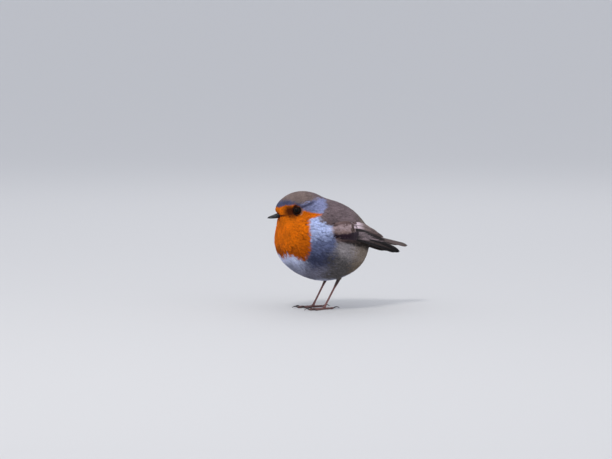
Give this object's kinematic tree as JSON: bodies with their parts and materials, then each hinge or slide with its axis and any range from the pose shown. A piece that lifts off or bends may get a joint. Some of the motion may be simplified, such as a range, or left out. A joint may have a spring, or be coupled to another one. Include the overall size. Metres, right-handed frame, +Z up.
{
  "type": "european robin, life-size still model",
  "caption": "Still life-size model of a European robin standing at rest, plumage fluffed, wings folded low, head turned a little to its right.",
  "frame": {"origin": "on the floor, under the middle of the bounding box", "axes": "+Z up, the bird faces -Y, its left side is +X, the tail points to +Y"},
  "size_m": [0.0602, 0.1155, 0.0912],
  "materials": {
    "head_plumage": "soft matte feather",
    "body_plumage": "soft matte feather",
    "leg_plumage": "soft matte feather",
    "wing_plumage": "satin feather",
    "flight_feathers": "satin feather",
    "bill": "polished horn",
    "claw": "satin horn",
    "leg_skin": "scaly skin",
    "eye": "glossy"
  },
  "bodies": {
    "root": {"head": "head_plumage", "left_eye": "eye", "left_foot": "leg_skin", "left_hind_claw": "claw", "left_inner_claw": "claw", "left_middle_claw": "claw", "left_outer_claw": "claw", "left_shank": "leg_plumage", "left_tarsus": "leg_skin", "left_wing_coverts": "wing_plumage", "left_wing_primaries": "flight_feathers", "left_wing_tertials": "wing_plumage", "lower_bill": "bill", "neck": "head_plumage", "right_eye": "eye", "right_foot": "leg_skin", "right_hind_claw": "claw", "right_inner_claw": "claw", "right_middle_claw": "claw", "right_outer_claw": "claw", "right_shank": "leg_plumage", "right_tarsus": "leg_skin", "right_wing_coverts": "wing_plumage", "right_wing_primaries": "flight_feathers", "right_wing_tertials": "wing_plumage", "tail": "flight_feathers", "trunk": "body_plumage", "upper_bill": "bill"}
  },
  "joints": []
}
